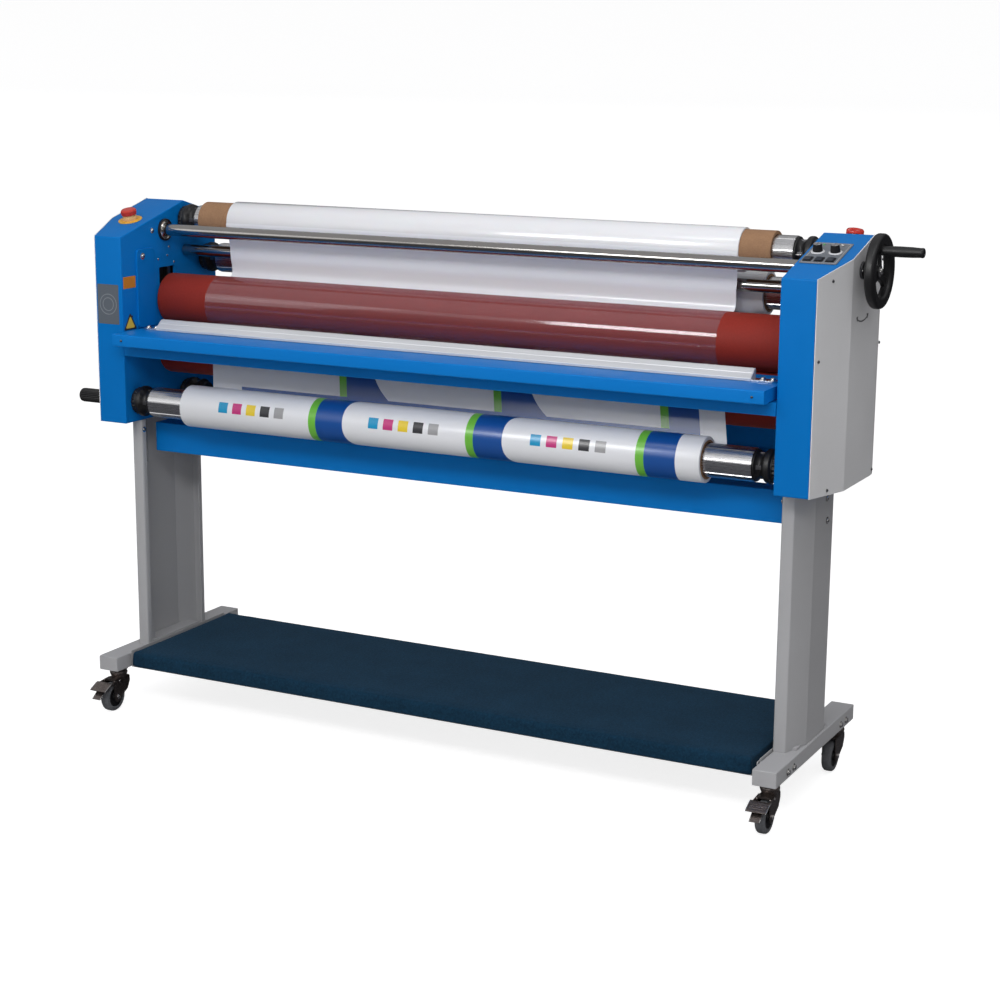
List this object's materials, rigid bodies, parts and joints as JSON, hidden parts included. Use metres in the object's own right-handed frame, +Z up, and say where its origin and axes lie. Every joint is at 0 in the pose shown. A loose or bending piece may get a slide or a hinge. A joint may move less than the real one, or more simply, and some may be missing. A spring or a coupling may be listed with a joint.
{
  "type": "cold roll laminator",
  "caption": "Free-standing roll-to-roll cold laminator: two main rollers between side cabinets, infeed table, film and media shafts, handwheel nip lift, padded shelf, castor stand.",
  "frame": {"origin": "on the floor, under the middle of the machine's overall footprint; the main rollers' axis is at y 0.0235 and the plane midway between the cabinets at x -0.043", "axes": "+X along the rollers towards the handwheel and control panel; -Y towards the operator at the infeed table; +Z up"},
  "size_m": [2.13, 0.585, 1.2905],
  "materials": {
    "blue_paint": "satin blue powder coat",
    "grey_paint": "fine-textured mid grey powder coat",
    "light_grey_paint": "fine-textured light grey powder coat",
    "silicone": "matte red-brown silicone rubber",
    "steel": "ground and plated bar",
    "dark_steel": "gunmetal plated pressed steel",
    "aluminium": "bright extruded profile",
    "pale_aluminium": "satin anodised extrusion",
    "cardboard": "spiral-wound brown core board",
    "white_film": "glossy white film on its liner",
    "printed_media": "satin white printed vinyl",
    "black_plastic": "moulded black plastic",
    "panel_grey": "dark grey control overlay",
    "stop_red": "red mushroom button",
    "shelf_fabric": "dark navy woven cover",
    "wheel_rubber": "grey rubber tread"
  },
  "bodies": {
    "frame": {"left_foot": "grey_paint", "right_foot": "grey_paint", "left_column": "light_grey_paint", "right_column": "light_grey_paint", "lower_beam": "blue_paint", "table_rail": "blue_paint", "rear_panel": "blue_paint", "shelf_tray": "light_grey_paint", "shelf_pad": "shelf_fabric", "left_side_frame": "blue_paint", "right_side_frame": "blue_paint", "left_shell": "blue_paint", "right_shell": "blue_paint", "left_outer_cover": "grey_paint", "right_outer_cover": "grey_paint", "feed_table": "blue_paint", "guide_bar": "pale_aluminium", "control_panel": "panel_grey", "drive_motor": "dark_steel"},
    "lift_carriage": {"left_lift_block": "dark_steel", "right_lift_block": "dark_steel"},
    "top_roller": {"top_roller_core": "steel", "top_roller_sleeve": "silicone"},
    "bottom_roller": {"bottom_roller_core": "steel", "bottom_roller_sleeve": "silicone"},
    "lift_shaft": {"lift_shaft": "steel", "handwheel": "black_plastic"},
    "handwheel_grip": {"handwheel_grip": "black_plastic"},
    "film_idler": {"film_idler": "steel"},
    "supply_roll": {"supply_shaft": "aluminium", "supply_chuck_left": "black_plastic", "supply_chuck_right": "black_plastic", "supply_core": "cardboard", "film_roll": "white_film"},
    "rewind_roll": {"rewind_shaft": "aluminium", "liner_roll": "white_film"},
    "media_roll": {"media_shaft": "aluminium", "media_chuck_left": "black_plastic", "media_chuck_right": "black_plastic", "media_roll": "printed_media"},
    "takeup_chuck_left": {"takeup_chuck_left": "black_plastic"},
    "takeup_chuck_right": {"takeup_chuck_right": "black_plastic"},
    "tension_knob": {"tension_knob": "black_plastic"},
    "left_estop_button": {"left_estop_button": "stop_red"},
    "right_estop_button": {"right_estop_button": "stop_red"},
    "speed_knob": {"speed_knob": "black_plastic"},
    "winder_knob": {"winder_knob": "black_plastic"},
    "stop_button": {"stop_button": "black_plastic"},
    "reverse_button": {"reverse_button": "black_plastic"},
    "forward_button": {"forward_button": "black_plastic"},
    "left_front_caster_fork": {"left_front_caster_fork": "dark_steel"},
    "left_front_caster_wheel": {"left_front_caster_wheel": "wheel_rubber"},
    "left_front_brake_pedal": {"left_front_brake_pedal": "steel"},
    "left_rear_caster_fork": {"left_rear_caster_fork": "dark_steel"},
    "left_rear_caster_wheel": {"left_rear_caster_wheel": "wheel_rubber"},
    "right_front_caster_fork": {"right_front_caster_fork": "dark_steel"},
    "right_front_caster_wheel": {"right_front_caster_wheel": "wheel_rubber"},
    "right_front_brake_pedal": {"right_front_brake_pedal": "steel"},
    "right_rear_caster_fork": {"right_rear_caster_fork": "dark_steel"},
    "right_rear_caster_wheel": {"right_rear_caster_wheel": "wheel_rubber"}
  },
  "joints": [
    {"name": "nip_lift", "type": "slide", "parent": "frame", "child": "lift_carriage", "axis": [0, 0, 1], "range_m": [0, 0.025]},
    {"name": "top_roller_spin", "type": "hinge", "parent": "lift_carriage", "child": "top_roller", "pos_m": [-0.043, 0.0235, 1.0303], "axis": [1, 0, 0], "continuous": true},
    {"name": "bottom_roller_spin", "type": "hinge", "parent": "frame", "child": "bottom_roller", "pos_m": [-0.043, 0.0235, 0.904], "axis": [1, 0, 0], "continuous": true},
    {"name": "handwheel_turn", "type": "hinge", "parent": "frame", "child": "lift_shaft", "pos_m": [0.947, 0.0035, 1.204], "axis": [1, 0, 0], "range_deg": [0, 80]},
    {"name": "grip_spin", "type": "hinge", "parent": "lift_shaft", "child": "handwheel_grip", "pos_m": [1.007, -0.0245, 1.25], "axis": [1, 0, 0], "continuous": true},
    {"name": "film_idler_spin", "type": "hinge", "parent": "frame", "child": "film_idler", "pos_m": [-0.043, 0.086, 1.147], "axis": [1, 0, 0], "continuous": true},
    {"name": "supply_spin", "type": "hinge", "parent": "frame", "child": "supply_roll", "pos_m": [-0.043, 0.0885, 1.225], "axis": [1, 0, 0], "continuous": true},
    {"name": "rewind_spin", "type": "hinge", "parent": "frame", "child": "rewind_roll", "pos_m": [-0.043, 0.1755, 1.122], "axis": [1, 0, 0], "continuous": true},
    {"name": "media_spin", "type": "hinge", "parent": "frame", "child": "media_roll", "pos_m": [-0.043, -0.1265, 0.788], "axis": [1, 0, 0], "continuous": true},
    {"name": "takeup_chuck_left_spin", "type": "hinge", "parent": "frame", "child": "takeup_chuck_left", "pos_m": [-0.863, 0.0785, 0.782], "axis": [1, 0, 0], "continuous": true},
    {"name": "takeup_chuck_right_spin", "type": "hinge", "parent": "frame", "child": "takeup_chuck_right", "pos_m": [0.777, 0.0785, 0.782], "axis": [1, 0, 0], "continuous": true},
    {"name": "tension_knob_turn", "type": "hinge", "parent": "frame", "child": "tension_knob", "pos_m": [-1.033, -0.1265, 0.788], "axis": [1, 0, 0], "range_deg": [0, 360]},
    {"name": "left_estop_press", "type": "slide", "parent": "frame", "child": "left_estop_button", "axis": [0, 0.2699, -0.9629], "range_m": [0, 0.004]},
    {"name": "right_estop_press", "type": "slide", "parent": "frame", "child": "right_estop_button", "axis": [0, -0.2691, -0.9631], "range_m": [0, 0.004]},
    {"name": "speed_knob_turn", "type": "hinge", "parent": "frame", "child": "speed_knob", "pos_m": [0.835, -0.0285, 1.23948], "axis": [0, -0.2699, 0.9629], "range_deg": [-270, 0]},
    {"name": "winder_knob_turn", "type": "hinge", "parent": "frame", "child": "winder_knob", "pos_m": [0.874, -0.0285, 1.23948], "axis": [0, -0.2699, 0.9629], "range_deg": [-270, 0]},
    {"name": "stop_button_press", "type": "slide", "parent": "frame", "child": "stop_button", "axis": [0, 0.2699, -0.9629], "range_m": [0, 0.002], "stiffness_N_per_m": 400},
    {"name": "reverse_button_press", "type": "slide", "parent": "frame", "child": "reverse_button", "axis": [0, 0.2699, -0.9629], "range_m": [0, 0.002], "stiffness_N_per_m": 400},
    {"name": "forward_button_press", "type": "slide", "parent": "frame", "child": "forward_button", "axis": [0, 0.2699, -0.9629], "range_m": [0, 0.002], "stiffness_N_per_m": 400},
    {"name": "left_front_swivel", "type": "hinge", "parent": "frame", "child": "left_front_caster_fork", "pos_m": [-0.921, -0.2045, 0.1], "axis": [0, 0, 1], "continuous": true},
    {"name": "left_front_wheel_spin", "type": "hinge", "parent": "left_front_caster_fork", "child": "left_front_caster_wheel", "pos_m": [-0.921, -0.2315, 0.0375], "axis": [1, 0, 0], "continuous": true},
    {"name": "left_front_brake", "type": "hinge", "parent": "left_front_caster_fork", "child": "left_front_brake_pedal", "pos_m": [-0.921, -0.2255, 0.0785], "axis": [1, 0, 0], "range_deg": [0, 12]},
    {"name": "left_rear_swivel", "type": "hinge", "parent": "frame", "child": "left_rear_caster_fork", "pos_m": [-0.921, 0.2415, 0.1], "axis": [0, 0, 1], "continuous": true},
    {"name": "left_rear_wheel_spin", "type": "hinge", "parent": "left_rear_caster_fork", "child": "left_rear_caster_wheel", "pos_m": [-0.921, 0.2145, 0.0375], "axis": [1, 0, 0], "continuous": true},
    {"name": "right_front_swivel", "type": "hinge", "parent": "frame", "child": "right_front_caster_fork", "pos_m": [0.835, -0.2045, 0.1], "axis": [0, 0, 1], "continuous": true},
    {"name": "right_front_wheel_spin", "type": "hinge", "parent": "right_front_caster_fork", "child": "right_front_caster_wheel", "pos_m": [0.835, -0.2315, 0.0375], "axis": [1, 0, 0], "continuous": true},
    {"name": "right_front_brake", "type": "hinge", "parent": "right_front_caster_fork", "child": "right_front_brake_pedal", "pos_m": [0.835, -0.2255, 0.0785], "axis": [1, 0, 0], "range_deg": [0, 12]},
    {"name": "right_rear_swivel", "type": "hinge", "parent": "frame", "child": "right_rear_caster_fork", "pos_m": [0.835, 0.2415, 0.1], "axis": [0, 0, 1], "continuous": true},
    {"name": "right_rear_wheel_spin", "type": "hinge", "parent": "right_rear_caster_fork", "child": "right_rear_caster_wheel", "pos_m": [0.835, 0.2145, 0.0375], "axis": [1, 0, 0], "continuous": true}
  ],
  "couplings": [
    {"joint": "handwheel_turn", "follows": "nip_lift", "rad_per_m": 55.556},
    {"joint": "top_roller_spin", "follows": "bottom_roller_spin", "ratio": -1}
  ]
}
